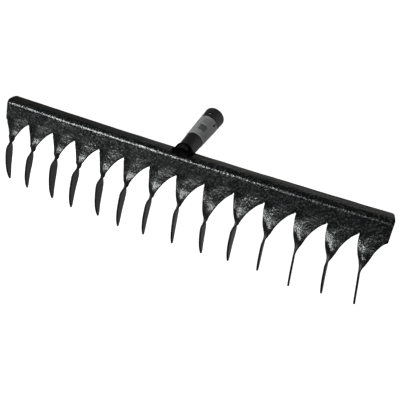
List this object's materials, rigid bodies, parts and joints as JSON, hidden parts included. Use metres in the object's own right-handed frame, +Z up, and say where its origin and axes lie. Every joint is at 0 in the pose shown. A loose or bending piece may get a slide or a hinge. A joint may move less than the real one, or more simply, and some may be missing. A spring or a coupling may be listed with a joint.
{
  "type": "garden rake head",
  "caption": "Rake head of pressed steel sheet with a row of twisted tines, a folded back flange and a tapered handle socket welded on at the middle.",
  "frame": {"origin": "centre of the handle socket's mouth, on the socket's axis", "axes": "+X along the row of tines, to the right seen from the front; +Y back towards the handle; +Z up, away from the tine tips"},
  "size_m": [0.415, 0.0913, 0.1317],
  "materials": {
    "head_paint": "hammered gloss black",
    "socket_paint": "gloss black",
    "weld_paint": "lumpy gloss black",
    "label_film": "satin"
  },
  "bodies": {
    "root": {"rake_head": "head_paint", "handle_socket": "socket_paint", "socket_weld": "weld_paint", "socket_label": "label_film"}
  },
  "joints": []
}
